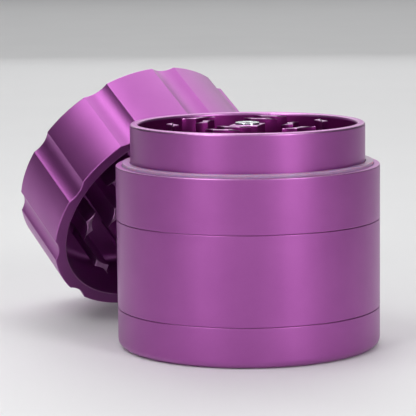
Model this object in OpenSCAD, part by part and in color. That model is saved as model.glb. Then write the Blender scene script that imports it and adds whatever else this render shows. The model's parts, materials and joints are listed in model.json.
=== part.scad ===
// Four-piece herb and spice grinder: a catcher, a collection chamber with a screen, a
// grinding chamber with a collar, and a fluted lid that leans on the stack.
// Millimetres. The origin is the centre of the catcher's flat underside, +Z is up.

/* [Stack] */
// Outside diameter of the stack and of the lid
body_d = 63; // [62:0.5:64]
// Height of the catcher's outer band
catcher_h = 9.55; // [9:0.05:10]
// Height of the collection chamber's outer band
collection_h = 21.1; // [18:0.1:26]
// Height of the grinding chamber's outer band
grinding_h = 12.85; // [12.5:0.05:14]
// Height of the collar above the shoulder
collar_h = 9.85; // [9.5:0.05:11]
// Radius of the round edge under the catcher
foot_round = 1.9; // [1:0.1:2.2]
// Bevel on the edges where the bands meet
edge = 0.25; // [0.1:0.05:0.4]

/* [Threads] */
// Rise of a thread in one turn
pitch = 1.6; // [1.5:0.05:1.8]
// Length of each threaded boss
boss_h = 5.6; // [5:0.1:5.7]

/* [Grinding] */
// Width across the outside of the collar
collar_d = 56; // [55:0.1:56.2]
// Thickness of the collar's wall
collar_wall = 1.9; // [1.5:0.1:2.2]
// Length of a tooth along its ring
tooth_length = 9; // [8:0.1:9.2]
// Width of a tooth across its ring
tooth_width = 2.5; // [2:0.1:2.8]
// Diameter of the large sieve holes in the floor
sieve_hole_d = 4; // [3:0.1:4]

/* [Lid] */
// Height of the lid
lid_h = 20.7; // [20:0.05:22]
// Depth of the lid's cavity
lid_depth = 14; // [13:0.5:14.5]
// Bore of the lid's skirt
lid_bore_d = 56.5; // [56.4:0.1:57]
// Number of flutes around the lid
flutes = 10; // [8:1:12]
// Depth of each flute
flute_depth = 1.06; // [0.6:0.01:1.3]
// Radius of the cutter that makes the flutes
flute_cutter_r = 6.7; // [5:0.1:8]
// Angle between the leaning lid's axis and the vertical
lid_tilt = 56.65; // [50:0.05:60]
// Compass direction, from +X, that the leaning lid's top faces
lid_facing = 125.95; // [120:0.05:132]
// Compass direction, from +X, in which the lid stands behind the stack
lid_bearing = 118.25; // [114:0.05:124]

/* [Hidden] */
$fn = 96;

purple = "MediumOrchid";
steel = "Silver";
milky = "Lavender";

body_r = body_d / 2;
seam_low = catcher_h;
seam_high = seam_low + collection_h;
shoulder = seam_high + grinding_h;
collar_top = shoulder + collar_h;
collar_r = collar_d / 2;

// Threads: the male root and the female root stay clear of the facing ridges
male_root_r = body_r - 4;
female_root_r = body_r - 3.1;
ridge_height = 0.7;
ridge_foot = 0.5;
ridge_crest = 0.2;
ridge_sink = 0.15;
ridge_inset = 0.05;
pilot_r = female_root_r - 0.1;
pilot_h = 0.6;
male_turns = (boss_h - pilot_h - 2 * (ridge_foot + ridge_inset)) / pitch;
female_turns = male_turns - 0.5;
thread_step = 7.5;
ridge_fade = 45;
bore_clear = 0.4;

// Catcher
catcher_floor = 2;
catcher_bowl_r = body_r - 4.6;
catcher_bowl_round = 1.4;

// Screen, held up against a ledge in the collection chamber by a washer and a snap ring
ledge = seam_low - 1.1;
screen_opening_r = 24;
screen_seat_r = 25.8;
screen_r = screen_seat_r - 0.2;
screen_thick = 0.25;
washer_r = screen_seat_r - 0.1;
washer_bore_r = screen_opening_r - 0.4;
washer_thick = 0.65;
snap_thick = 0.9;
snap_groove_r = 26.4;
snap_r = snap_groove_r - 0.1;
snap_bore_r = screen_opening_r + 0.6;
snap_gap = 8;
nest_clear = 0.03;
screen_z = ledge - nest_clear - screen_thick;
washer_z = screen_z - washer_thick;
snap_z = washer_z - nest_clear - snap_thick;

// Collection chamber
cavity_r = body_r - 3.9;
cavity_round = 3.2;
cavity_floor = ledge + 1.4;

// Grinding chamber
collar_bore_r = collar_r - collar_wall;
collar_round = 0.65;
skirt_bore_r = male_root_r - 1.9;
floor_top = shoulder - 2.2;
floor_thick = 2.6;
floor_round = 1.2;
tooth_top = collar_top - 0.05;
outer_ring_r = 18;
inner_ring_r = 10.6;
outer_teeth = 6;
inner_teeth = 4;
outer_phase = 11.5;
inner_phase = 72.5;
tooth_lead = 0.35;
tooth_shift = 0.2;
bowl_hand = 1;
lid_hand = -1;
side_hollow = 0.1;
tip_trim = 0.03;
post_r = 4.9;
post_hollow = 0.04;
post_turn = 29;
post_top = collar_top - 0.5;

// Rings of sieve holes: ring radius, number of holes, angle of the first one, diameter
sieve_rings = [[7.1, 4, 30, 3], [14.35, 9, 20, sieve_hole_d], [22.3, 18, 4, sieve_hole_d]];

// Glide ring in its seat on the shoulder
seat_depth = 0.55;
seat_r = collar_r + 2.05;
ring_r = collar_r + 1.95;
ring_clear = 0.1;
ring_proud = 0.7;
ring_lift = 0.04;

// Magnets and their screws
magnet_r = 2.9;
magnet_thick = 2;
magnet_proud = 0.5;
magnet_hole_r = 1.4;
screw_head_r = 2.2;
screw_r = 1.2;
screw_head_h = screw_head_r - screw_r;
screw_sink = 0.12;
countersink_r = screw_head_r + screw_sink + nest_clear;
screw_length = 7;
screw_end = screw_length - 0.2;
screw_point = 0.4;
hex_r = 0.85;
hex_depth = 0.7;

// Lid
lid_ring_r = 21.7;
lid_inner_ring_r = 14.6;
lid_teeth = 8;
lid_inner_teeth = 5;
lid_phase = 37.5;
lid_inner_phase = 20;
lid_tooth_sink = 0.6;
lid_round = 2;
lid_post_h = 3.5;
dish_r = 25;
dish_depth = 0.6;
lean_gap = 0.5;
lid_reach = collar_r + body_r * cos(lid_tilt) + lean_gap;

// A bevelled band of the stack, as a profile from the axis outwards
module band(low, high, low_bevel, high_bevel) {
    polygon([[0, low], [body_r - low_bevel, low], [body_r, low + low_bevel],
             [body_r, high - high_bevel], [body_r - high_bevel, high], [0, high]]);
}

// A disc's profile from low to high whose lower outer corner is round
module round_based(radius, low, high, round) {
    translate([0, low + round]) square([radius, high - low - round]);
    translate([0, low]) square([radius - round, high - low]);
    translate([radius - round, low + round])
        intersection() {
            circle(round);
            translate([-round, -round]) square([2 * round, round]);
        }
}

// Section of a thread ridge at its root: distance out from the root, and height
function ridge_section(side, grow) =
    [[-side * ridge_sink, -ridge_foot], [side * ridge_height * grow, -ridge_crest],
     [side * ridge_height * grow, ridge_crest], [-side * ridge_sink, ridge_foot]];

// A helical thread ridge; side is 1 on a boss and -1 in a bore
module ridge(root_r, side, low, turns) {
    steps = round(turns * 360 / thread_step);
    fade = ridge_fade / thread_step;
    points = [for (i = [0 : steps])
        let (a = i * thread_step, grow = max(0.08, min(1, i / fade, (steps - i) / fade)))
        for (p = ridge_section(side, grow))
            [(root_r + p[0]) * cos(a), (root_r + p[0]) * sin(a), low + pitch * a / 360 + p[1]]];
    walls = [for (i = [0 : steps - 1]) for (k = [0 : 3])
        let (a = 4 * i + k, b = 4 * i + (k + 1) % 4)
        for (t = [[a, b, b + 4], [a, b + 4, a + 4]]) side > 0 ? t : [t[0], t[2], t[1]]];
    first = side > 0 ? [3, 2, 1, 0] : [0, 1, 2, 3];
    last = [for (k = first) 4 * steps + 3 - k];
    polyhedron(points = points, faces = concat(walls, [first, last]));
}

// Ridge on a boss whose lower end is at low
module male_ridge(low) ridge(male_root_r, 1, low + ridge_foot + ridge_inset, male_turns);

// Ridge in the bore around such a boss, half a pitch above the boss's own ridge
module female_ridge(low)
    ridge(female_root_r, -1, low + ridge_foot + ridge_inset + pitch / 2, female_turns);

// Profile of a threaded boss below a band: its core and the pilot land that centres it
module boss_profile(top) {
    lead = 0.4;
    polygon([[0, top - boss_h], [male_root_r - lead, top - boss_h],
             [male_root_r, top - boss_h + lead], [male_root_r, top - pilot_h],
             [pilot_r, top - pilot_h], [pilot_r, top + 0.1], [0, top + 0.1]]);
}

// A four-point tooth outline with concave sides, long along X; hand is the way it is skewed
module tooth_outline(length, width, hand) {
    lead = hand * tooth_lead * width;
    shift = hand * tooth_shift * length;
    hollow_sided([[length / 2, -lead], [shift, width / 2], [-length / 2, lead],
                  [-shift, -width / 2]], side_hollow);
}

// Polygon with each side hollowed to an arc, by a share of the side's own length
module hollow_sided(corners, share) {
    difference() {
        polygon(corners);
        for (i = [0 : len(corners) - 1])
            side_cutter(corners[i], corners[(i + 1) % len(corners)], share);
    }
}

// The round cutter that hollows the side from p to q and trims the sharp tips at its ends
module side_cutter(p, q, share) {
    chord = norm(q - p);
    hollow = share * chord;
    cutter = (chord * chord / 4 + hollow * hollow) / (2 * hollow);
    outward = [q[1] - p[1], p[0] - q[0]] / chord;
    translate((p + q) / 2 + outward * (cutter - hollow)) circle(cutter + tip_trim);
}

// A ring of upright teeth; with hand 1 the counter-clockwise tip of each lies outwards
module tooth_ring(count, ring_radius, phase, low, high, hand) {
    for (i = [0 : count - 1])
        rotate(phase + i * 360 / count)
            translate([ring_radius, 0, low])
                linear_extrude(high - low)
                    rotate(90) tooth_outline(tooth_length, tooth_width, hand);
}

// Centre post: a regular four-point star with concave sides
module star_post(low, high) {
    translate([0, 0, low])
        linear_extrude(high - low)
            hollow_sided([for (a = [0 : 90 : 270]) post_r * [cos(a), sin(a)]], post_hollow);
}

// Pocket for a magnet and the hole for its screw, in a post that ends at z = 0
module magnet_pocket() {
    sunk = magnet_thick - magnet_proud;
    translate([0, 0, -sunk - nest_clear]) cylinder(h = sunk + 1, r = magnet_r + nest_clear);
    translate([0, 0, -screw_length]) cylinder(h = screw_length, r = screw_r + nest_clear);
}

// Countersunk ring magnet seated in a post that ends at z = 0
module magnet() {
    low = magnet_proud - magnet_thick;
    bevel = 0.15;
    translate([0, 0, low])
        rotate_extrude()
            polygon([[magnet_hole_r, 0], [magnet_r - bevel, 0], [magnet_r, bevel],
                     [magnet_r, magnet_thick - bevel], [magnet_r - bevel, magnet_thick],
                     [countersink_r, magnet_thick],
                     [magnet_hole_r, magnet_thick - countersink_r + magnet_hole_r]]);
}

// Countersunk screw with a hex socket, whose head lies just below the magnet's face
module magnet_screw() {
    top = magnet_proud - screw_sink;
    difference() {
        translate([0, 0, top])
            rotate_extrude()
                polygon([[0, 0], [screw_head_r, 0], [screw_r, -screw_head_h],
                         [screw_r, screw_point - screw_end],
                         [screw_r - screw_point, -screw_end], [0, -screw_end]]);
        translate([0, 0, top - hex_depth]) cylinder(h = hex_depth + 1, r = hex_r, $fn = 6);
    }
}

// Shallow bottom cup with the female thread
module catcher() {
    boss_low = seam_low - boss_h;
    color(purple) {
        rotate_extrude()
            difference() {
                intersection() {
                    round_based(body_r, 0, catcher_h, foot_round);
                    band(0, catcher_h, 0, edge);
                }
                round_based(catcher_bowl_r, catcher_floor, catcher_h + 1, catcher_bowl_round);
                translate([0, boss_low - bore_clear]) square([female_root_r, catcher_h]);
            }
        female_ridge(boss_low);
    }
}

// Tall middle section: a boss and the screen seat below, a female thread above
module collection_chamber() {
    boss_low = seam_high - boss_h;
    color(purple) {
        rotate_extrude()
            difference() {
                union() {
                    band(seam_low, seam_high, edge, edge);
                    boss_profile(seam_low);
                }
                translate([0, -1]) square([screen_seat_r, ledge + 1]);
                translate([0, snap_z - nest_clear])
                    square([snap_groove_r, snap_thick + 2 * nest_clear]);
                square([screen_opening_r, seam_high]);
                round_based(cavity_r, cavity_floor, seam_high + 1, cavity_round);
                translate([0, boss_low - bore_clear]) square([female_root_r, boss_h + 2]);
            }
        male_ridge(seam_low - boss_h);
        female_ridge(boss_low);
    }
}

// Fine sieve disc
module screen_mesh() {
    color(steel)
        translate([0, 0, screen_z]) cylinder(h = screen_thick, r = screen_r);
}

// Flat washer under the sieve
module screen_washer() {
    color(steel)
        translate([0, 0, washer_z])
            difference() {
                cylinder(h = washer_thick, r = washer_r);
                translate([0, 0, -1]) cylinder(h = washer_thick + 2, r = washer_bore_r);
            }
}

// Split spring ring that snaps into the groove
module screen_snap_ring() {
    color(steel)
        translate([0, 0, snap_z])
            difference() {
                cylinder(h = snap_thick, r = snap_r);
                translate([0, 0, -1]) cylinder(h = snap_thick + 2, r = snap_bore_r);
                translate([0, -snap_gap / 2, -1]) cube([body_r, snap_gap, snap_thick + 2]);
            }
}

// Profile of the collar wall with both of its top edges rounded
module collar_profile() {
    translate([collar_bore_r, shoulder - seat_depth - 1])
        square([collar_wall, collar_h + seat_depth + 1 - collar_round]);
    translate([collar_bore_r + collar_round, shoulder])
        square([collar_wall - 2 * collar_round, collar_h]);
    for (x = [collar_bore_r + collar_round, collar_r - collar_round])
        translate([x, collar_top - collar_round]) circle(collar_round);
}

// Sieve holes through the floor, between the rings of teeth
module sieve_holes() {
    for (ring = sieve_rings)
        for (i = [0 : ring[1] - 1])
            rotate(ring[2] + i * 360 / ring[1])
                translate([ring[0], 0, floor_top - floor_thick - 1])
                    cylinder(h = floor_thick + 2, d = ring[3], $fn = 32);
}

// Upper section: bowl with teeth and sieve floor, collar above, threaded skirt below
module grinding_chamber() {
    color(purple)
        difference() {
            union() {
                rotate_extrude()
                    difference() {
                        union() {
                            band(seam_high, shoulder, edge, edge);
                            boss_profile(seam_high);
                            collar_profile();
                        }
                        translate([collar_r, shoulder - seat_depth])
                            square([seat_r - collar_r, collar_h]);
                        round_based(collar_bore_r, floor_top, collar_top + 1, floor_round);
                        translate([0, seam_high - boss_h - 1])
                            square([skirt_bore_r, floor_top - floor_thick - seam_high + boss_h + 1]);
                    }
                male_ridge(seam_high - boss_h);
                tooth_ring(outer_teeth, outer_ring_r, outer_phase, floor_top - 1, tooth_top,
                           bowl_hand);
                tooth_ring(inner_teeth, inner_ring_r, inner_phase, floor_top - 1, tooth_top,
                           bowl_hand);
                rotate(post_turn) star_post(floor_top - 1, post_top);
            }
            sieve_holes();
            translate([0, 0, post_top]) magnet_pocket();
        }
}

module chamber_magnet() {
    color(steel) translate([0, 0, post_top]) magnet();
}

module chamber_magnet_screw() {
    color(steel) translate([0, 0, post_top]) magnet_screw();
}

// Slippery polymer ring that the lid turns on
module glide_ring() {
    low = shoulder - seat_depth + ring_lift;
    thick = seat_depth - ring_lift + ring_proud;
    bevel = 0.12;
    color(milky)
        translate([0, 0, low])
            rotate_extrude()
                polygon([[collar_r + ring_clear, 0], [ring_r, 0], [ring_r, thick - bevel],
                         [ring_r - bevel, thick], [collar_r + ring_clear, thick]]);
}

// Places the lid's own frame, rim plane at z = 0 and top upwards, where the lid leans
module leaning() {
    rotate(lid_bearing)
        translate([lid_reach, 0, body_r * sin(lid_tilt)])
            rotate([0, 0, lid_facing - lid_bearing]) rotate([0, lid_tilt, 0]) children();
}

// Profile of the lid before its flutes are cut
module lid_profile() {
    top_bevel = 0.5;
    difference() {
        polygon([[0, 0], [body_r - edge, 0], [body_r, edge], [body_r, lid_h - top_bevel],
                 [body_r - top_bevel, lid_h], [0, lid_h]]);
        translate([0, -1]) square([lid_bore_d / 2, lid_depth + 1 - lid_round]);
        translate([0, -1]) square([lid_bore_d / 2 - lid_round, lid_depth + 1]);
        translate([lid_bore_d / 2 - lid_round, lid_depth - lid_round]) circle(lid_round);
        polygon([[0, -1], [lid_bore_d / 2 + edge + 1, -1], [lid_bore_d / 2 - 0.01, edge + 0.01],
                 [0, edge]]);
        polygon([[0, lid_h - dish_depth], [dish_r - dish_depth, lid_h - dish_depth],
                 [dish_r + 1, lid_h + 1], [0, lid_h + 1]]);
    }
}

// Fluted lid with its own teeth and post; the lid's own frame
module lid_shape() {
    difference() {
        union() {
            rotate_extrude() lid_profile();
            tooth_ring(lid_teeth, lid_ring_r, lid_phase, lid_tooth_sink, lid_depth + 1, lid_hand);
            tooth_ring(lid_inner_teeth, lid_inner_ring_r, lid_inner_phase, lid_tooth_sink,
                       lid_depth + 1, lid_hand);
            rotate(post_turn) star_post(lid_depth - lid_post_h, lid_depth + 1);
        }
        for (i = [0 : flutes - 1])
            rotate(i * 360 / flutes)
                translate([body_r - flute_depth + flute_cutter_r, 0, -1])
                    cylinder(h = lid_h + 2, r = flute_cutter_r);
        translate([0, 0, lid_depth - lid_post_h]) mirror([0, 0, 1]) magnet_pocket();
    }
}

module lid() {
    color(purple) leaning() lid_shape();
}

module lid_magnet() {
    color(steel) leaning() translate([0, 0, lid_depth - lid_post_h]) mirror([0, 0, 1]) magnet();
}

module lid_magnet_screw() {
    color(steel)
        leaning() translate([0, 0, lid_depth - lid_post_h]) mirror([0, 0, 1]) magnet_screw();
}

catcher();
collection_chamber();
screen_mesh();
screen_washer();
screen_snap_ring();
grinding_chamber();
chamber_magnet();
chamber_magnet_screw();
glide_ring();
lid();
lid_magnet();
lid_magnet_screw();
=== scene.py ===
"""Looks of a four-piece grinder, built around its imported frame. Everything is in metres."""
import json
import math

import bmesh
import bpy
from mathutils import Matrix, Vector
from mathutils.geometry import delaunay_2d_cdt


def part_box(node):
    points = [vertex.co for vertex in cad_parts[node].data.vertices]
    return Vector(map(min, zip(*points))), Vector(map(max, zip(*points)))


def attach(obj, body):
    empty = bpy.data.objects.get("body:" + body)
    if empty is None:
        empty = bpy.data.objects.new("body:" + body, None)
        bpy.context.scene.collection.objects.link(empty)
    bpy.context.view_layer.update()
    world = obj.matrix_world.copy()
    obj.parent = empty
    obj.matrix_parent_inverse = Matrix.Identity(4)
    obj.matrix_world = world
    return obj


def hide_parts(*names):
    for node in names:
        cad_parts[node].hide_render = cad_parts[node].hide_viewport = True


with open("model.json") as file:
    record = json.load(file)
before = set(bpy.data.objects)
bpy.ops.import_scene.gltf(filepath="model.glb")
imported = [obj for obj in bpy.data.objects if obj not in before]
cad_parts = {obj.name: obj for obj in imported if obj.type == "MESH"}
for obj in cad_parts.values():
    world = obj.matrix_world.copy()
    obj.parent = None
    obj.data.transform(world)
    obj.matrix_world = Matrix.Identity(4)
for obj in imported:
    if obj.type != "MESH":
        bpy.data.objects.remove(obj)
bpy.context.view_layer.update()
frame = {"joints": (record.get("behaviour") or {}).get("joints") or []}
MM = 0.001

# ---------------------------------------------------------------- sizes
# Heights come from the frame; the radii and small sizes are those of the turned parts.
SEAM_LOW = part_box("catcher")[1].z
SEAM_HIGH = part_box("collection_chamber")[1].z
COLLAR_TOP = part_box("grinding_chamber")[1].z
RING_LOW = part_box("glide_ring")[0].z
RING_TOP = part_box("glide_ring")[1].z
BOSS_H = SEAM_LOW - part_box("collection_chamber")[0].z
BODY_R = 31.5 * MM
EDGE = 0.25 * MM
BEVEL = 0.12 * MM
FIT = 0.03 * MM
FOOT_ROUND = 1.9 * MM
MALE_ROOT_R = BODY_R - 4 * MM
FEMALE_ROOT_R = BODY_R - 3.1 * MM
PILOT_R = FEMALE_ROOT_R - 0.1 * MM
PILOT_H = 0.6 * MM
BORE_CLEAR = 0.4 * MM
PITCH = 1.6 * MM
RIDGE_HEIGHT = 0.7 * MM
RIDGE_FOOT = 0.5 * MM
RIDGE_INSET = 0.05 * MM
MALE_TURNS = (BOSS_H - PILOT_H - 2 * (RIDGE_FOOT + RIDGE_INSET)) / PITCH
COLLAR_R = 28 * MM
COLLAR_BORE_R = COLLAR_R - 1.9 * MM
SHOULDER = RING_TOP - 0.7 * MM
SEAT_DEPTH = 0.55 * MM
SEAT_R = COLLAR_R + 2.05 * MM
FLOOR_TOP = SHOULDER - 2.2 * MM
FLOOR_LOW = FLOOR_TOP - 2.6 * MM
TOOTH_TOP = COLLAR_TOP - 0.05 * MM
POST_TOP = COLLAR_TOP - 0.5 * MM
TOOTH_LENGTH = 9 * MM
TOOTH_WIDTH = 2.5 * MM
TOOTH_LEAD = 0.35 * TOOTH_WIDTH
TOOTH_SHIFT = 0.2 * TOOTH_LENGTH
BOWL_HAND = 1
LID_HAND = -1
SIDE_HOLLOW = 0.1
POST_HOLLOW = 0.04
POST_R = 4.9 * MM
POST_TURN = math.radians(29)
# Rings of teeth: how many, ring radius, degrees of the first one
BOWL_TEETH = ((6, 18 * MM, 11.5), (4, 10.6 * MM, 72.5))
LID_TEETH = ((8, 21.7 * MM, 37.5), (5, 14.6 * MM, 20))
LID_TOOTH_SINK = 0.6 * MM
# Rings of sieve holes: ring radius, how many, degrees of the first one, hole diameter
SIEVE_HOLES = ((7.1 * MM, 4, 30, 3 * MM), (14.35 * MM, 9, 20, 4 * MM),
               (22.3 * MM, 18, 4, 4 * MM))
LID_H = 20.7 * MM
LID_DEPTH = 14 * MM
LID_BORE_R = 28.25 * MM
LID_POST_H = 3.5 * MM
FLUTES = 10
FLUTE_DEPTH = 1.06 * MM
FLUTE_CUTTER_R = 6.7 * MM
MAGNET_R = 2.9 * MM
MAGNET_PROUD = 0.5 * MM
MAGNET_THICK = 2 * MM
MAGNET_HOLE_R = 1.4 * MM
HEAD_R = 2.2 * MM
HEAD_SINK = 0.12 * MM
COUNTERSINK_R = HEAD_R + HEAD_SINK + FIT
SHANK_R = 1.2 * MM
SCREW_HOLE = 7 * MM
HEAD_H = HEAD_R - SHANK_R

# Steps round a full turn, a quarter fillet, a tooth's side and one turn of thread
TURNED = 288
MAGNET_STEPS = 96
SCREW_STEPS = 72
POCKET_STEPS = 48
HOLE_STEPS = 32
QUARTER_STEPS = 5
SIDE_STEPS = 7
THREAD_STEPS = 96
# A fillet this much short of its neighbour doesn't put two points in one place
NEARLY = 0.999


# ---------------------------------------------------------------- outlines
def rounded(corners):
    """Profile points (r, z, paleness, cut) from corners (r, z, fillet radius, cut).

    paleness draws the small fillets lighter: partly edge wear, partly a painted highlight. cut
    picks the material: 0 is blasted, 1 is left as turned, and 2 is the bowl's, whose darker dye is
    painted shade.
    """
    out = []
    last = len(corners) - 1
    for i, (r, z, fillet, cut) in enumerate(corners):
        here = Vector((r, z))
        if fillet == 0 or i in (0, last):
            out.append((r, z, 0.0, cut))
            continue
        back = (Vector(corners[i - 1][:2]) - here).normalized()
        ahead = (Vector(corners[i + 1][:2]) - here).normalized()
        half = back.angle(ahead) / 2
        centre = here + (back + ahead).normalized() * fillet / math.sin(half)
        start = here + back * fillet / math.tan(half) - centre
        end = here + ahead * fillet / math.tan(half) - centre
        turn = math.atan2(start.x * end.y - start.y * end.x, start.dot(end))
        steps = max(2, math.ceil(QUARTER_STEPS * abs(turn) / (math.pi / 2)))
        # Pale edges, partly wear and partly painted highlight: full on small fillets, faint on seam
        # edges and broad rounds.
        seam_or_broad = fillet == EDGE or fillet >= 1 * MM
        most = 0.15 if seam_or_broad else 1.0
        for k in range(steps + 1):
            spoke = Matrix.Rotation(turn * k / steps, 2) @ start
            scuff_and_highlight = most * math.sin(math.pi * k / steps)
            out.append((centre.x + spoke.x, centre.y + spoke.y, scuff_and_highlight, cut))
    return out


def hollow_sides(corners, share):
    """Outline through counter-clockwise corners, each side hollowed by a share of its length."""
    points = []
    for i, p in enumerate(corners):
        q = corners[(i + 1) % len(corners)]
        chord = (q - p).length
        sag = share * chord
        outward = Vector((q.y - p.y, p.x - q.x)).normalized()
        for k in range(SIDE_STEPS):
            t = k / SIDE_STEPS
            points.append(p.lerp(q, t) - outward * sag * 4 * t * (1 - t))
    return points


def tooth_outline(hand):
    """Skewed four-point tooth with its length along Y; hand is the way it is skewed."""
    half = TOOTH_LENGTH / 2
    side = TOOTH_WIDTH / 2
    lead = hand * TOOTH_LEAD
    shift = hand * TOOTH_SHIFT
    corners = [(lead, half), (-side, shift), (-lead, -half), (side, -shift)]
    return hollow_sides([Vector(c) for c in corners], SIDE_HOLLOW)


def star_outline():
    tips = [Matrix.Rotation(POST_TURN + k * math.pi / 2, 2) @ Vector((POST_R, 0)) for k in range(4)]
    return hollow_sides(tips, POST_HOLLOW)


def circle(radius, count, centre=(0, 0), start=0.0):
    angles = [start + 2 * math.pi * k / count for k in range(count)]
    return [Vector((centre[0] + radius * math.cos(a), centre[1] + radius * math.sin(a)))
            for a in angles]


def ring_of(outline, count, radius, phase):
    """Copies of an outline set around a ring; phase is in degrees."""
    copies = []
    for k in range(count):
        turn = Matrix.Rotation(math.radians(phase) + 2 * math.pi * k / count, 2)
        copies.append([turn @ (p + Vector((radius, 0))) for p in outline])
    return copies


def all_teeth(rings, hand):
    return [outline for count, radius, phase in rings
            for outline in ring_of(tooth_outline(hand), count, radius, phase)]


def inset(outline, distance):
    """The outline moved inwards; tips move a little further, as a small bevel does."""
    moved = []
    count = len(outline)
    for i, p in enumerate(outline):
        a = p - outline[i - 1]
        b = outline[(i + 1) % count] - p
        na = Vector((a.y, -a.x)).normalized()
        nb = Vector((b.y, -b.x)).normalized()
        mid = (na + nb).normalized()
        moved.append(p - mid * distance / max(0.4, mid.dot(na)))
    return moved


def inside(point, outline):
    """Whether a point lies within an outline, by counting the sides to its right."""
    hit = False
    for i, p in enumerate(outline):
        q = outline[i - 1]
        if (p.y > point.y) != (q.y > point.y):
            if point.x < (q.x - p.x) * (point.y - p.y) / (q.y - p.y) + p.x:
                hit = not hit
    return hit


# ---------------------------------------------------------------- mesh building
class Part:
    """A closed metal or plastic piece that is put together from loops of vertices."""

    def __init__(self):
        self.bm = bmesh.new()
        # Per-vertex paleness of edges: partly wear, partly painted highlight.
        self.scuff_and_highlight = self.bm.verts.layers.float.new("scuff_and_highlight")

    def vert(self, x, y, z, scuff_and_highlight=0.0):
        v = self.bm.verts.new((x, y, z))
        v[self.scuff_and_highlight] = scuff_and_highlight
        return v

    def loop(self, outline, z, scuff_and_highlight=0.0):
        return [self.vert(p.x, p.y, z, scuff_and_highlight) for p in outline]

    def bridge(self, a, b, cut=0, closed=True):
        """Faces between two loops; a loop of one vertex is a pole."""
        count = max(len(a), len(b))
        for i in range(count if closed else count - 1):
            j = (i + 1) % count
            corners = [a[i % len(a)], a[j % len(a)], b[j % len(b)], b[i % len(b)]]
            face = self.bm.faces.new(list(dict.fromkeys(corners)))
            face.material_index = cut

    def lathe(self, profile, angles=None, closed=False, radius=None):
        """Turns a profile about Z and returns its loops; radius can flute the outside."""
        angles = angles or [2 * math.pi * k / TURNED for k in range(TURNED)]
        radius = radius or (lambda r, a: r)
        loops = []
        for r, z, scuff_and_highlight, _ in profile:
            if r == 0:
                loops.append([self.vert(0, 0, z, scuff_and_highlight)])
                continue
            rim = [(radius(r, a), a) for a in angles]
            loops.append([self.vert(q * math.cos(a), q * math.sin(a), z, scuff_and_highlight) for q, a in rim])
        for i in range(len(profile) - (0 if closed else 1)):
            j = (i + 1) % len(profile)
            self.bridge(loops[i], loops[j], cut=int(profile[i][3] and profile[j][3]))
        return loops

    def plate(self, outer, holes, cut=0):
        """Flat region between an outer loop and the loops of its holes."""
        loops = [outer] + holes
        verts = [v for loop in loops for v in loop]
        edges = []
        base = 0
        for loop in loops:
            n = len(loop)
            edges += [(base + i, base + (i + 1) % n) for i in range(n)]
            base += n
        flat = [Vector((v.co.x, v.co.y)) for v in verts]
        cdt = delaunay_2d_cdt(flat, edges, [], 0, 1e-9)
        found = [verts[ids[0]] for ids in cdt[3]]
        outlines = [[Vector((v.co.x, v.co.y)) for v in loop] for loop in loops]
        middles = [sum(o, Vector((0, 0))) / len(o) for o in outlines]
        reaches = [max((p - m).length for p in o) for o, m in zip(outlines, middles)]
        for tri in cdt[2]:
            corners = [found[i] for i in tri]
            mid = sum((Vector((v.co.x, v.co.y)) for v in corners), Vector((0, 0))) / 3
            if not inside(mid, outlines[0]):
                continue
            near = [o for o, m, r in zip(outlines[1:], middles[1:], reaches[1:])
                    if (mid - m).length < r]
            if not any(inside(mid, o) for o in near):
                face = self.bm.faces.new(corners)
                face.material_index = cut

    def stud(self, outline, low, top, cap=True, cut=0):
        """Tooth or post with a bevelled tip, open at the tip without cap; returns both loops."""
        up = 1 if top > low else -1
        foot = self.loop(outline, low)
        neck = self.loop(outline, top - up * 2 * BEVEL)
        # The tip's bevel is drawn paler: partly wear, partly painted highlight.
        side = self.loop(outline, top - up * BEVEL, 1.0)
        tip = self.loop(inset(outline, BEVEL), top, 1.0)
        self.bridge(foot, neck, cut=cut)
        self.bridge(neck, side, cut=cut)
        self.bridge(side, tip)
        if cap:
            self.bm.faces.new(tip)
        return foot, tip

    def hole(self, wide, narrow, top, low):
        """Through hole with both mouths bevelled; returns its top and bottom loops."""
        # Both mouths are drawn paler: partly wear, partly painted highlight.
        mouth = self.loop(wide, top, 1.0)
        upper = self.loop(narrow, top - BEVEL)
        lower = self.loop(narrow, low + BEVEL)
        exit_loop = self.loop(wide, low, 1.0)
        for a, b in ((mouth, upper), (upper, lower), (lower, exit_loop)):
            self.bridge(a, b, cut=1)
        return mouth, exit_loop

    def pocket(self, outline, top, low, shaft=None, end=None):
        """Blind pocket, with a narrower blind shaft in its base if given; returns its mouth."""
        # The mouth is drawn a little paler: partly wear, partly painted highlight.
        mouth = self.loop(outline, top, 0.6)
        base = self.loop(outline, low)
        self.bridge(mouth, base, cut=1)
        if shaft:
            throat = self.loop(shaft, low)
            self.plate(base, [throat], cut=1)
            base = self.loop(shaft, end)
            self.bridge(throat, base, cut=1)
        self.bm.faces.new(base).material_index = 1
        return mouth

    def finish(self, name, body, materials, replaces=(), place=None, sharp=38):
        """Makes the object, moves it to its place, ties it to its body and hides the parts it
        replaces.
        """
        bmesh.ops.remove_doubles(self.bm, verts=self.bm.verts, dist=1e-7)
        bmesh.ops.recalc_face_normals(self.bm, faces=self.bm.faces)
        mesh = bpy.data.meshes.new(name)
        self.bm.to_mesh(mesh)
        self.bm.free()
        if place:
            mesh.transform(place)
        mesh.polygons.foreach_set("use_smooth", [True] * len(mesh.polygons))
        mesh.set_sharp_from_angle(angle=math.radians(sharp))
        for material in materials:
            mesh.materials.append(material)
        piece = bpy.data.objects.new(name, mesh)
        bpy.context.scene.collection.objects.link(piece)
        weighted = piece.modifiers.new("flat_faces", "WEIGHTED_NORMAL")
        weighted.keep_sharp = True
        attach(piece, body)
        if replaces:
            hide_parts(*replaces)
        return piece


# ---------------------------------------------------------------- materials
def shader(name, **sockets):
    """A new node material and its Principled shader, with constant sockets set on it."""
    material = bpy.data.materials.new(name)
    material.use_nodes = True
    bsdf = material.node_tree.nodes["Principled BSDF"]
    for socket, value in sockets.items():
        bsdf.inputs[socket.replace("_", " ")].default_value = value
    return material, material.node_tree, bsdf


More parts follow.
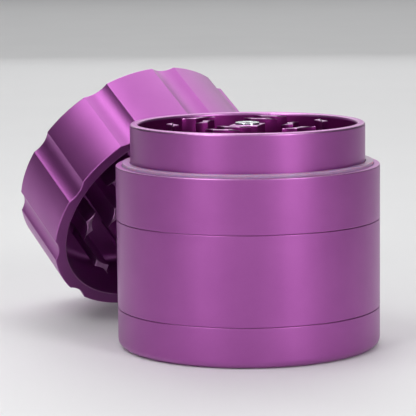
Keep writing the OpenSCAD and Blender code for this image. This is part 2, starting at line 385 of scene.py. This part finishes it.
def noise(tree, scale, detail=2.0, stretch=None):
    """Noise in the object's own coordinates; stretch squeezes it along an axis."""
    coords = tree.nodes.new("ShaderNodeTexCoord")
    texture = tree.nodes.new("ShaderNodeTexNoise")
    texture.inputs["Scale"].default_value = scale
    texture.inputs["Detail"].default_value = detail
    source = coords.outputs["Object"]
    if stretch:
        mapping = tree.nodes.new("ShaderNodeMapping")
        mapping.inputs["Scale"].default_value = stretch
        tree.links.new(source, mapping.inputs["Vector"])
        source = mapping.outputs["Vector"]
    tree.links.new(source, texture.inputs["Vector"])
    return texture.outputs["Fac"]


def ranged(tree, value, low, high, start=0.0, end=1.0):
    """Maps value from start..end to low..high."""
    node = tree.nodes.new("ShaderNodeMapRange")
    node.inputs["From Min"].default_value = start
    node.inputs["From Max"].default_value = end
    node.inputs["To Min"].default_value = low
    node.inputs["To Max"].default_value = high
    tree.links.new(value, node.inputs["Value"])
    return node.outputs["Result"]


def mixed(tree, factor, a, b):
    """Colour a where factor is 0 and b where it is 1; a and b are colours or sockets."""
    node = tree.nodes.new("ShaderNodeMix")
    node.data_type = "RGBA"
    tree.links.new(factor, node.inputs["Factor"])
    for socket, value in ((node.inputs[6], a), (node.inputs[7], b)):
        if isinstance(value, bpy.types.NodeSocket):
            tree.links.new(value, socket)
        else:
            socket.default_value = (*value, 1.0)
    return node.outputs[2]


def maths(tree, operation, a, b):
    """Result of an operation on two numbers or sockets, kept within 0..1."""
    node = tree.nodes.new("ShaderNodeMath")
    node.operation = operation
    node.use_clamp = True
    for socket, value in zip(node.inputs, (a, b)):
        if isinstance(value, bpy.types.NodeSocket):
            tree.links.new(value, socket)
        else:
            socket.default_value = value
    return node.outputs[0]


def bump(tree, bsdf, height, strength, distance):
    node = tree.nodes.new("ShaderNodeBump")
    node.inputs["Strength"].default_value = strength
    node.inputs["Distance"].default_value = distance
    tree.links.new(height, node.inputs["Height"])
    tree.links.new(node.outputs["Normal"], bsdf.inputs["Normal"])


def scuffs_and_highlights(tree):
    """1 on the small fillets, broken up by noise, and 0 elsewhere: the mask of pale edges, partly
    wear and partly painted highlight.
    """
    attribute = tree.nodes.new("ShaderNodeAttribute")
    attribute.attribute_name = "scuff_and_highlight"
    patches = ranged(tree, noise(tree, 900, 3), 0.72, 1.0, 0.35, 0.65)
    return maths(tree, "MULTIPLY", attribute.outputs["Fac"], patches)


def anodised(name, dye, deep_dye, roughness, blast, coat, turned=False):
    """Dyed anodising on aluminium, bead-blasted, or left as turned with fine tool lines."""
    material, tree, bsdf = shader(name, Metallic=1.0, Coat_Weight=coat, Coat_Roughness=0.38,
                                  Coat_IOR=1.6)
    clouds = ranged(tree, noise(tree, 120, 3), 0.0, 1.0, 0.3, 0.7)
    grain = ranged(tree, noise(tree, 5200, 2), 0.0, 1.0, 0.3, 0.7)
    tone = maths(tree, "ADD", maths(tree, "MULTIPLY", clouds, 0.45),
                 maths(tree, "MULTIPLY", grain, 0.4))
    colour = mixed(tree, tone, deep_dye, dye)
    scuffed_and_lit = scuffs_and_highlights(tree)
    # Edges are mixed towards a pale lilac: partly wear, partly painted highlight.
    pale = mixed(tree, maths(tree, "MULTIPLY", scuffed_and_lit, 0.6), colour, (0.78, 0.45, 0.75))
    tree.links.new(pale, bsdf.inputs["Base Color"])
    rough = ranged(tree, grain, roughness - 0.03, roughness + 0.05)
    rubbed = maths(tree, "SUBTRACT", rough, maths(tree, "MULTIPLY", scuffed_and_lit, 0.1))
    tree.links.new(rubbed, bsdf.inputs["Roughness"])
    if turned:
        lines = noise(tree, 1.0, 1, stretch=(300, 300, 16000))
        bump(tree, bsdf, lines, 0.35, 0.000012)
    else:
        bump(tree, bsdf, noise(tree, 7500, 3), blast, 0.00003)
    return material


def bright_metal(name, colour, roughness, scale, strength, stretch=None):
    """Undyed metal with fine scratches or grain."""
    material, tree, bsdf = shader(name, Metallic=1.0)
    grain = noise(tree, scale, 3, stretch)
    darker = tuple(0.72 * c for c in colour)
    tree.links.new(mixed(tree, grain, darker, colour), bsdf.inputs["Base Color"])
    tree.links.new(ranged(tree, grain, roughness - 0.06, roughness + 0.1, 0.3, 0.7),
                   bsdf.inputs["Roughness"])
    bump(tree, bsdf, grain, strength, 0.00001)
    return material


def milky_polymer():
    material, tree, bsdf = shader("milky_polymer", Subsurface_Weight=0.45, Subsurface_Scale=0.0012,
                                  Transmission_Weight=0.12, Coat_Weight=0.25)
    clouds = noise(tree, 700, 3)
    tree.links.new(mixed(tree, clouds, (0.43, 0.25, 0.45), (0.56, 0.37, 0.58)),
                   bsdf.inputs["Base Color"])
    tree.links.new(ranged(tree, clouds, 0.3, 0.45), bsdf.inputs["Roughness"])
    bump(tree, bsdf, noise(tree, 4000, 2), 0.12, 0.00002)
    return material


def pale_floor():
    material, tree, bsdf = shader("pale_floor")
    mottle = noise(tree, 14, 3)
    tree.links.new(mixed(tree, mottle, (0.74, 0.74, 0.75), (0.78, 0.78, 0.785)),
                   bsdf.inputs["Base Color"])
    tree.links.new(ranged(tree, mottle, 0.55, 0.65), bsdf.inputs["Roughness"])
    return material


# The order of PURPLE is the order of the materials that a profile's cut names; the third is the
# bowl's, its darker dye painted shade
BLASTED = anodised("anodised_blasted", (0.41, 0.095, 0.395), (0.35, 0.072, 0.34), 0.42, 0.3, 0.5)
TURNED_METAL = anodised("anodised_turned", (0.38, 0.08, 0.36), (0.31, 0.06, 0.30), 0.34, 0.2, 0.2,
                        True)
# The bowl's darker, deeper dye is painted shade for the grinding chamber's floor, inner wall and
# teeth.
BOWL_PAINTED_SHADE = anodised("anodised_bowl_painted_shade", (0.31, 0.03, 0.25), (0.25, 0.02, 0.2), 0.38, 0.3, 0.05)
PURPLE = [BLASTED, TURNED_METAL, BOWL_PAINTED_SHADE]
NICKEL = bright_metal("nickel_plate", (0.72, 0.75, 0.79), 0.2, 1800, 0.15)
SCREW_STEEL = bright_metal("screw_steel", (0.66, 0.66, 0.67), 0.24, 2600, 0.2)
SPRING_STEEL = bright_metal("spring_steel", (0.70, 0.70, 0.70), 0.26, 1.0, 0.3, (900, 900, 9000))
WIRE = bright_metal("sieve_wire", (0.72, 0.70, 0.66), 0.28, 3000, 0.15)
MILKY = milky_polymer()


# ---------------------------------------------------------------- the turned sections
def thread(name, body, root_r, side, low, turns):
    """Helical ridge on a boss (side 1) or in a bore (side -1), with a rounded crest."""
    part = Part()
    steps = round(turns * THREAD_STEPS)
    fade = THREAD_STEPS / 8
    least = 0.03
    half_foot = RIDGE_FOOT * 0.9
    # Points of the ridge: share of its height, share of half its foot
    section = [(-0.2, -1.1), (0.15, -0.86), (0.82, -0.52), (1.0, -0.3),
               (1.0, 0.3), (0.82, 0.52), (0.15, 0.86), (-0.2, 1.1)]
    loops = []
    for i in range(steps + 1):
        a = 2 * math.pi * i / THREAD_STEPS
        grow = max(least, math.sin(math.pi / 2 * min(1, i / fade, (steps - i) / fade)))
        loop = []
        for out, along in section:
            height = out * RIDGE_HEIGHT * (grow if out > 0 else 1)
            r = root_r + side * height
            z = low + PITCH * i / THREAD_STEPS + along * half_foot
            # The crest is drawn paler: partly wear, partly painted highlight.
            loop.append(part.vert(r * math.cos(a), r * math.sin(a), z, max(0, out - 0.7) * 2))
        loops.append(loop)
    for a, b in zip(loops, loops[1:]):
        part.bridge(a, b)
    part.bm.faces.new(loops[0])
    part.bm.faces.new(loops[-1])
    part.finish(name, body, [TURNED_METAL], sharp=60)


def boss_thread(name, body, boss_low):
    thread(name, body, MALE_ROOT_R, 1, boss_low + RIDGE_FOOT + RIDGE_INSET, MALE_TURNS)


def bore_thread(name, body, boss_low):
    thread(name, body, FEMALE_ROOT_R, -1, boss_low + RIDGE_FOOT + RIDGE_INSET + PITCH / 2,
           MALE_TURNS - 0.5)


def boss_corners(top):
    """Corners of a threaded boss, from its pilot land down to its lower outer edge."""
    low = top - BOSS_H
    chamfer = 0.4 * MM
    return [(PILOT_R, top, 0.0, 1), (PILOT_R, top - PILOT_H, 0.1 * MM, 1),
            (MALE_ROOT_R, top - PILOT_H, 0.15 * MM, 1),
            (MALE_ROOT_R, low + chamfer, 0.1 * MM, 1),
            (MALE_ROOT_R - chamfer, low, 0.1 * MM, 1)]


def make_catcher():
    bowl_r = BODY_R - 4.6 * MM
    bowl_round = 1.3 * MM
    flat_r = BODY_R - FOOT_ROUND - 1.2 * MM
    floor = 2 * MM
    step = SEAM_LOW - BOSS_H - BORE_CLEAR
    corners = [(0, 0, 0, 0), (flat_r, 0, 0, 0),
               (BODY_R, 0, FOOT_ROUND, 0),
               (BODY_R, SEAM_LOW, EDGE, 0),
               (FEMALE_ROOT_R, SEAM_LOW, 0.2 * MM, 0),
               (FEMALE_ROOT_R, step, 0.15 * MM, 1),
               (bowl_r, step, 0.2 * MM, 1), (bowl_r, floor, bowl_round, 1), (0, floor, 0, 1)]
    part = Part()
    part.lathe(rounded(corners))
    part.finish("catcher_cup", "catcher", PURPLE, ["catcher"])
    bore_thread("catcher_thread", "catcher", SEAM_LOW - BOSS_H)


def make_collection_chamber():
    ledge = SEAM_LOW - 1.1 * MM
    floor = ledge + 1.4 * MM
    cavity_r = BODY_R - 3.9 * MM
    seat_r = 25.8 * MM
    opening_r = 24 * MM
    groove_r = 26.4 * MM
    groove_top = ledge - 0.93 * MM
    groove_low = groove_top - 0.96 * MM
    step = SEAM_HIGH - BOSS_H - BORE_CLEAR
    boss = boss_corners(SEAM_LOW)
    corners = boss + [
        (seat_r, SEAM_LOW - BOSS_H, 0.2 * MM, 1), (seat_r, groove_low, 0.05 * MM, 1),
        (groove_r, groove_low, 0.08 * MM, 1), (groove_r, groove_top, 0.08 * MM, 1),
        (seat_r, groove_top, 0.05 * MM, 1), (seat_r, ledge, 0.08 * MM, 1),
        (opening_r, ledge, 0.15 * MM, 1), (opening_r, floor, 0.4 * MM, 0),
        (cavity_r, floor, 3.1 * MM, 0), (cavity_r, step, 0.2 * MM, 0),
        (FEMALE_ROOT_R, step, 0.1 * MM, 1), (FEMALE_ROOT_R, SEAM_HIGH, 0.2 * MM, 1),
        (BODY_R, SEAM_HIGH, EDGE, 0), (BODY_R, SEAM_LOW, EDGE, 0), (PILOT_R, SEAM_LOW, 0, 0)]
    part = Part()
    part.lathe(rounded(corners)[:-1], closed=True)
    part.finish("collection_body", "collection_chamber", PURPLE,
                ["collection_chamber"])
    boss_thread("collection_boss_thread", "collection_chamber", SEAM_LOW - BOSS_H)
    bore_thread("collection_bore_thread", "collection_chamber", SEAM_HIGH - BOSS_H)


def magnet_post(part, foot_z, top_z, cut=0):
    """Star post with a bevelled top, a magnet pocket and a screw hole; returns its foot loop."""
    up = 1 if top_z > foot_z else -1
    foot, tip = part.stud(star_outline(), foot_z, top_z, cap=False, cut=cut)
    sunk = MAGNET_THICK - MAGNET_PROUD + FIT
    mouth = part.pocket(circle(MAGNET_R + FIT, POCKET_STEPS), top_z, top_z - up * sunk,
                        circle(SHANK_R + FIT, POCKET_STEPS), top_z - up * SCREW_HOLE)
    part.plate(tip, [mouth])
    return foot


def make_grinding_chamber():
    bowl_round = 1.2 * MM
    skirt_r = MALE_ROOT_R - 1.9 * MM
    rim = 0.65 * MM
    boss = boss_corners(SEAM_HIGH)
    # Cut 2 gives the bowl's floor and wall the darker dye: painted shade in the recess.
    corners = [(COLLAR_BORE_R - bowl_round, FLOOR_TOP, 0, 2),
               (COLLAR_BORE_R, FLOOR_TOP, bowl_round * NEARLY, 2),
               (COLLAR_BORE_R, COLLAR_TOP - 1.2 * rim, 0, 2),
               (COLLAR_BORE_R, COLLAR_TOP, rim, 0), (COLLAR_R, COLLAR_TOP, rim, 0),
               (COLLAR_R, SHOULDER - SEAT_DEPTH, 0.1 * MM, 0),
               (SEAT_R, SHOULDER - SEAT_DEPTH, 0.1 * MM, 0), (SEAT_R, SHOULDER, 0.1 * MM, 0),
               (BODY_R, SHOULDER, 0.3 * MM, 0), (BODY_R, SEAM_HIGH, EDGE, 0)] + boss + [
               (skirt_r, SEAM_HIGH - BOSS_H, 0.2 * MM, 1), (skirt_r, FLOOR_LOW, 0.8 * MM, 1),
               (skirt_r - 0.9 * MM, FLOOR_LOW, 0, 1)]
    part = Part()
    loops = part.lathe(rounded(corners))
    top_holes = []
    low_holes = []
    for radius, count, start, width in SIEVE_HOLES:
        for k in range(count):
            a = math.radians(start) + 2 * math.pi * k / count
            at = (radius * math.cos(a), radius * math.sin(a))
            mouth, exit_loop = part.hole(circle(width / 2 + BEVEL, HOLE_STEPS, at),
                                         circle(width / 2, HOLE_STEPS, at),
                                         FLOOR_TOP, FLOOR_LOW)
            top_holes.append(mouth)
            low_holes.append(exit_loop)
    # The teeth and post take cut 2, the darker dye of painted shade.
    for outline in all_teeth(BOWL_TEETH, BOWL_HAND):
        top_holes.append(part.stud(outline, FLOOR_TOP, TOOTH_TOP, cut=2)[0])
    top_holes.append(magnet_post(part, FLOOR_TOP, POST_TOP, cut=2))
    part.plate(loops[0], top_holes, cut=2)
    part.plate(loops[-1], low_holes, cut=1)
    part.finish("grinding_body", "grinding_chamber", PURPLE,
                ["grinding_chamber"])
    boss_thread("grinding_boss_thread", "grinding_chamber", SEAM_HIGH - BOSS_H)


def make_glide_ring():
    outer = COLLAR_R + 1.95 * MM
    inner = COLLAR_R + 0.1 * MM
    middle = (outer + inner) / 2
    corners = [(middle, RING_LOW, 0, 0), (outer, RING_LOW, 0.1 * MM, 0),
               (outer, RING_TOP, 0.2 * MM, 0), (inner, RING_TOP, 0.15 * MM, 0),
               (inner, RING_LOW, 0.1 * MM, 0), (middle, RING_LOW, 0, 0)]
    part = Part()
    part.lathe(rounded(corners)[:-1], closed=True)
    part.finish("glide_washer", "glide_ring", [MILKY], ["glide_ring"])


# ---------------------------------------------------------------- the lid
def lid_place():
    """Matrix from the lid's own frame, rim plane at z = 0 and top upwards, to the row frame."""
    spin = next(j for j in frame["joints"] if j["name"] == "lid_spin")
    up = Vector(spin["axis"]).normalized()
    facing = Vector((up.x, up.y, 0)).normalized()
    down_slope = facing * up.z - Vector((0, 0, Vector((up.x, up.y)).length))
    basis = Matrix((down_slope, up.cross(down_slope), up)).transposed()
    return Matrix.Translation(Vector(spin["pos_m"])) @ basis.to_4x4()


def flute_angles():
    """Angles around the lid, closer together at the soft edges of the flutes."""
    cutter_at = BODY_R - FLUTE_DEPTH + FLUTE_CUTTER_R
    reach = (BODY_R ** 2 + cutter_at ** 2 - FLUTE_CUTTER_R ** 2) / (2 * BODY_R * cutter_at)
    lip = math.acos(reach)
    step = 2 * math.pi / FLUTES
    half = [lip * t for t in (0, 0.12, 0.25, 0.37, 0.5, 0.62, 0.74, 0.83, 0.9, 0.94, 0.97, 1.0,
                              1.03, 1.06, 1.1, 1.17)]
    past_lip = half[-1]
    plain = 14
    half += [past_lip + (step / 2 - past_lip) * k / plain for k in range(1, plain)]
    full = [-a for a in reversed(half[1:])] + half + [step / 2]
    return [step * k + a for k in range(FLUTES) for a in full]


def fluted(r, a):
    """Radius r at angle a, less the flutes: whole on the outside, fading to none at the bore."""
    step = 2 * math.pi / FLUTES
    off = (a + step / 2) % step - step / 2
    cutter_at = BODY_R - FLUTE_DEPTH + FLUTE_CUTTER_R
    under = FLUTE_CUTTER_R ** 2 - (cutter_at * math.sin(off)) ** 2
    if under <= 0:
        return r
    hollow = cutter_at * math.cos(off) - math.sqrt(under)
    soft = 0.12 * MM
    mix = max(0.0, min(1.0, 0.5 + (BODY_R - hollow) / (2 * soft)))
    wall = BODY_R * (1 - mix) + hollow * mix - soft * mix * (1 - mix)
    margin = 0.6 * MM
    fade = (r - LID_BORE_R - margin) / (BODY_R - LID_BORE_R - 2 * margin)
    fade = max(0.0, min(1.0, fade))
    return r - (BODY_R - wall) * fade


def make_lid():
    place = lid_place()
    angles = flute_angles()
    cavity_round = 2 * MM
    lip = 0.3 * MM
    dish_r = 25 * MM
    dish = LID_H - 0.6 * MM
    top_round = 0.5 * MM
    corners = [(LID_BORE_R - cavity_round, LID_DEPTH, 0, 0),
               (LID_BORE_R, LID_DEPTH, cavity_round * NEARLY, 0),
               (LID_BORE_R, 0, lip, 0), (BODY_R, 0, EDGE, 0),
               (BODY_R, LID_H, top_round, 0), (LID_BORE_R, LID_H, 0, 0),
               (dish_r, LID_H, 0.4 * MM, 0),
               (dish_r - 0.6 * MM, dish, 0.4 * MM, 0), (dish_r / 2, dish, 0, 0), (0, dish, 0, 0)]
    part = Part()
    loops = part.lathe(rounded(corners), angles=angles, radius=fluted)
    feet = []
    for outline in all_teeth(LID_TEETH, LID_HAND):
        feet.append(part.stud(outline, LID_DEPTH, LID_TOOTH_SINK)[0])
    feet.append(magnet_post(part, LID_DEPTH, LID_DEPTH - LID_POST_H))
    part.plate(loops[0], feet)
    part.finish("lid_body", "lid", PURPLE, ["lid"], place=place)


# ---------------------------------------------------------------- magnets and screws
def make_magnet(name, body, node, place):
    """Countersunk ring magnet; place puts the post's top face at z = 0."""
    low = MAGNET_PROUD - MAGNET_THICK
    middle = (MAGNET_HOLE_R + MAGNET_R) / 2
    cone_end = MAGNET_PROUD - (COUNTERSINK_R - MAGNET_HOLE_R)
    corners = [(middle, low, 0, 0), (MAGNET_R, low, 0.15 * MM, 0),
               (MAGNET_R, MAGNET_PROUD, 0.18 * MM, 0),
               (COUNTERSINK_R, MAGNET_PROUD, 0.05 * MM, 0), (MAGNET_HOLE_R, cone_end, 0, 0),
               (MAGNET_HOLE_R, low, 0.05 * MM, 0), (middle, low, 0, 0)]
    part = Part()
    angles = [2 * math.pi * k / MAGNET_STEPS for k in range(MAGNET_STEPS)]
    part.lathe(rounded(corners)[:-1], angles=angles, closed=True)
    part.finish(name, body, [NICKEL], [node], place=place)


def make_screw(name, body, node, place):
    """Countersunk screw with a hex socket and a thin land around its head."""
    top = MAGNET_PROUD - HEAD_SINK
    end = top - 6.8 * MM
    point = 0.4 * MM
    socket_r = 0.85 * MM
    socket_depth = 0.7 * MM
    socket_rim = 0.25 * MM
    land = 0.06 * MM
    corners = [(socket_r + socket_rim, top, 0, 0), (HEAD_R - land, top, 0.03 * MM, 0),
               (HEAD_R - land, top - land, 0, 0), (SHANK_R, top - HEAD_H, 0.1 * MM, 0),
               (SHANK_R, end + point, 0.05 * MM, 0), (SHANK_R - point, end, 0.05 * MM, 0),
               (0, end, 0, 0)]
    part = Part()
    angles = [2 * math.pi * k / SCREW_STEPS for k in range(SCREW_STEPS)]
    loops = part.lathe(rounded(corners), angles=angles)
    socket = part.pocket(circle(socket_r, 6), top, top - socket_depth)
    part.plate(loops[0], [socket])
    part.finish(name, body, [SCREW_STEEL], [node], place=place, sharp=30)


def make_fixings():
    on_post = Matrix.Translation((0, 0, POST_TOP))
    in_lid = lid_place() @ Matrix.Translation((0, 0, LID_DEPTH - LID_POST_H))
    flipped = in_lid @ Matrix.Rotation(math.pi, 4, "X")
    make_magnet("chamber_magnet_disc", "grinding_chamber", "chamber_magnet", on_post)
    make_screw("chamber_screw", "grinding_chamber", "chamber_magnet_screw", on_post)
    make_magnet("lid_magnet_disc", "lid_magnet", "lid_magnet", flipped)
    make_screw("lid_screw", "lid_magnet", "lid_magnet_screw", flipped)


# ---------------------------------------------------------------- the screen
def make_washer():
    low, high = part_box("screen_washer")
    outer = 25.7 * MM
    inner = 23.6 * MM
    middle = (outer + inner) / 2
    corners = [(middle, low.z, 0, 0), (outer, low.z, BEVEL, 0), (outer, high.z, BEVEL, 0),
               (inner, high.z, BEVEL, 0), (inner, low.z, BEVEL, 0), (middle, low.z, 0, 0)]
    part = Part()
    part.lathe(rounded(corners)[:-1], closed=True)
    part.finish("washer_ring", "screen_pack", [SPRING_STEEL], ["screen_washer"])


def make_snap_ring():
    """Plain spring ring, split at +X."""
    low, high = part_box("screen_snap_ring")
    outer = 26.3 * MM
    inner = 24.6 * MM
    middle = (outer + inner) / 2
    half_gap = math.radians(8.8)
    steps = 220
    angles = [half_gap + (2 * math.pi - 2 * half_gap) * k / steps for k in range(steps + 1)]
    fillet = 0.2 * MM
    corners = [(middle, low.z, 0, 0), (outer, low.z, fillet, 0), (outer, high.z, fillet, 0),
               (inner, high.z, fillet, 0), (inner, low.z, fillet, 0), (middle, low.z, 0, 0)]
    profile = rounded(corners)[:-1]
    part = Part()
    loops = []
    for a in angles:
        loops.append([part.vert(r * math.cos(a), r * math.sin(a), z, scuff_and_highlight)
                      for r, z, scuff_and_highlight, _ in profile])
    for a, b in zip(loops, loops[1:]):
        part.bridge(a, b)
    part.bm.faces.new(loops[0])
    part.bm.faces.new(loops[-1])
    part.finish("snap_ring_wire", "screen_pack", [SPRING_STEEL],
                ["screen_snap_ring"])


def make_screen():
    """Plain-woven wire cloth, cut to a disc, with a pressed rim that holds the wire ends."""
    low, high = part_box("screen_mesh")
    radius = 25.5 * MM
    middle = (low.z + high.z) / 2
    wire = 0.056 * MM
    spacing = 0.8 * MM
    lift = (high.z - low.z) / 2 - wire
    sides = 5
    count = int(radius / spacing)
    part = Part()
    for along in (0, 1):
        for i in range(-count, count + 1):
            across = (i + 0.5) * spacing
            if abs(across) > radius - spacing:
                continue
            reach = math.sqrt(radius ** 2 - across ** 2)
            steps = max(4, int(2 * reach / (spacing / 2)))
            previous = None
            for k in range(steps + 1):
                s = -reach + 2 * reach * k / steps
                wave = math.cos(math.pi * (s / spacing - 0.5)) * (-1) ** (i + along)
                ring = []
                for m in range(sides):
                    a = 2 * math.pi * m / sides
                    u = across + wire * math.cos(a)
                    z = middle + lift * wave * 0.5 + wire * math.sin(a)
                    ring.append(part.vert(*((s, u) if along == 0 else (u, s)), z))
                if previous:
                    part.bridge(previous, ring)
                else:
                    part.bm.faces.new(ring)
                previous = ring
            part.bm.faces.new(previous)
    inner = radius - 0.5 * MM
    outer = radius + 0.1 * MM
    half = (high.z - low.z) / 2 - 0.02 * MM
    rim = [(inner, -half), (outer, -half), (outer, half), (inner, half)]
    part.lathe([(r, middle + z, 0.0, 0) for r, z in rim], closed=True)
    part.finish("wire_cloth", "screen_pack", [WIRE], ["screen_mesh"], sharp=60)


# ---------------------------------------------------------------- stage, lights, camera
def make_floor():
    """Pale floor that runs far out on every side of the object."""
    reach = 3.4
    mesh = bpy.data.meshes.new("floor")
    corners = [(-reach, -reach, 0), (reach, -reach, 0), (reach, reach, 0), (-reach, reach, 0)]
    mesh.from_pydata(corners, [], [(0, 1, 2, 3)])
    mesh.materials.append(pale_floor())
    floor = bpy.data.objects.new("floor", mesh)
    bpy.context.scene.collection.objects.link(floor)


def softbox(name, azimuth, elevation, distance, width, height, power):
    """Area light aimed at the object; azimuth 0 is on the camera's side, 90 on the right."""
    target = Vector((0, 0, 0.03))
    a = math.radians(azimuth)
    e = math.radians(elevation)
    away = Vector((math.sin(a) * math.cos(e), -math.cos(a) * math.cos(e), math.sin(e)))
    data = bpy.data.lights.new(name, "AREA")
    data.shape = "RECTANGLE"
    data.size = width
    data.size_y = height
    data.energy = power
    lamp = bpy.data.objects.new(name, data)
    lamp.location = target + away * distance
    lamp.rotation_euler = away.to_track_quat("Z", "Y").to_euler()
    lamp.visible_camera = False
    bpy.context.scene.collection.objects.link(lamp)


def make_lights():
    """Upright soft boxes in front, softer light from above and behind, and light for the floor."""
    world = bpy.data.worlds.new("studio")
    world.use_nodes = True
    background = world.node_tree.nodes["Background"]
    background.inputs["Color"].default_value = (0.86, 0.88, 0.92, 1)
    background.inputs["Strength"].default_value = 0.04
    bpy.context.scene.world = world
    bpy.context.scene.view_settings.view_transform = "Standard"
    softbox("key_left", -36, 24, 0.9, 0.22, 0.6, 2.7)
    softbox("key_right", 40, 22, 0.9, 0.22, 0.6, 3.2)
    softbox("front_fill", 2, 14, 0.9, 0.5, 0.5, 0.3)
    softbox("overhead", 180, 72, 0.9, 0.8, 0.6, 1.9)
    softbox("top_left", -70, 62, 0.9, 0.4, 0.4, 1.9)
    softbox("ceiling", 0, 90, 2.5, 6.0, 6.0, 38)
    softbox("far_floor", 180, 40, 2.8, 3.0, 2.0, 26)
    softbox("low_back", 180, 13, 1.1, 1.3, 0.34, 0.9)


def make_camera():
    """Long lens a little above the object, as near and as high as the view needs."""
    lens_mm = 175.99327
    distance = 15.315 * BODY_R
    height = 3.136 * BODY_R
    pitch = math.radians(7.791)
    yaw = math.radians(-1.137)
    roll = math.radians(-0.615)
    right = Vector((math.cos(yaw), -math.sin(yaw), 0))
    ahead_flat = Vector((math.sin(yaw), math.cos(yaw), 0))
    ahead = math.cos(pitch) * ahead_flat - math.sin(pitch) * Vector((0, 0, 1))
    down = -math.sin(pitch) * ahead_flat - math.cos(pitch) * Vector((0, 0, 1))
    rolled_right = math.cos(roll) * right - math.sin(roll) * down
    rolled_down = math.sin(roll) * right + math.cos(roll) * down
    data = bpy.data.cameras.new("camera")
    data.sensor_width = 36
    data.lens = lens_mm
    data.clip_start = 0.01
    camera = bpy.data.objects.new("camera", data)
    basis = Matrix((rolled_right, -rolled_down, -ahead)).transposed()
    camera.matrix_world = Matrix.Translation((0, -distance, height)) @ basis.to_4x4()
    bpy.context.scene.collection.objects.link(camera)
    bpy.context.scene.camera = camera


make_camera()
make_lights()
make_floor()
make_catcher()
make_collection_chamber()
make_grinding_chamber()
make_glide_ring()
make_lid()
make_fixings()
make_washer()
make_snap_ring()
make_screen()
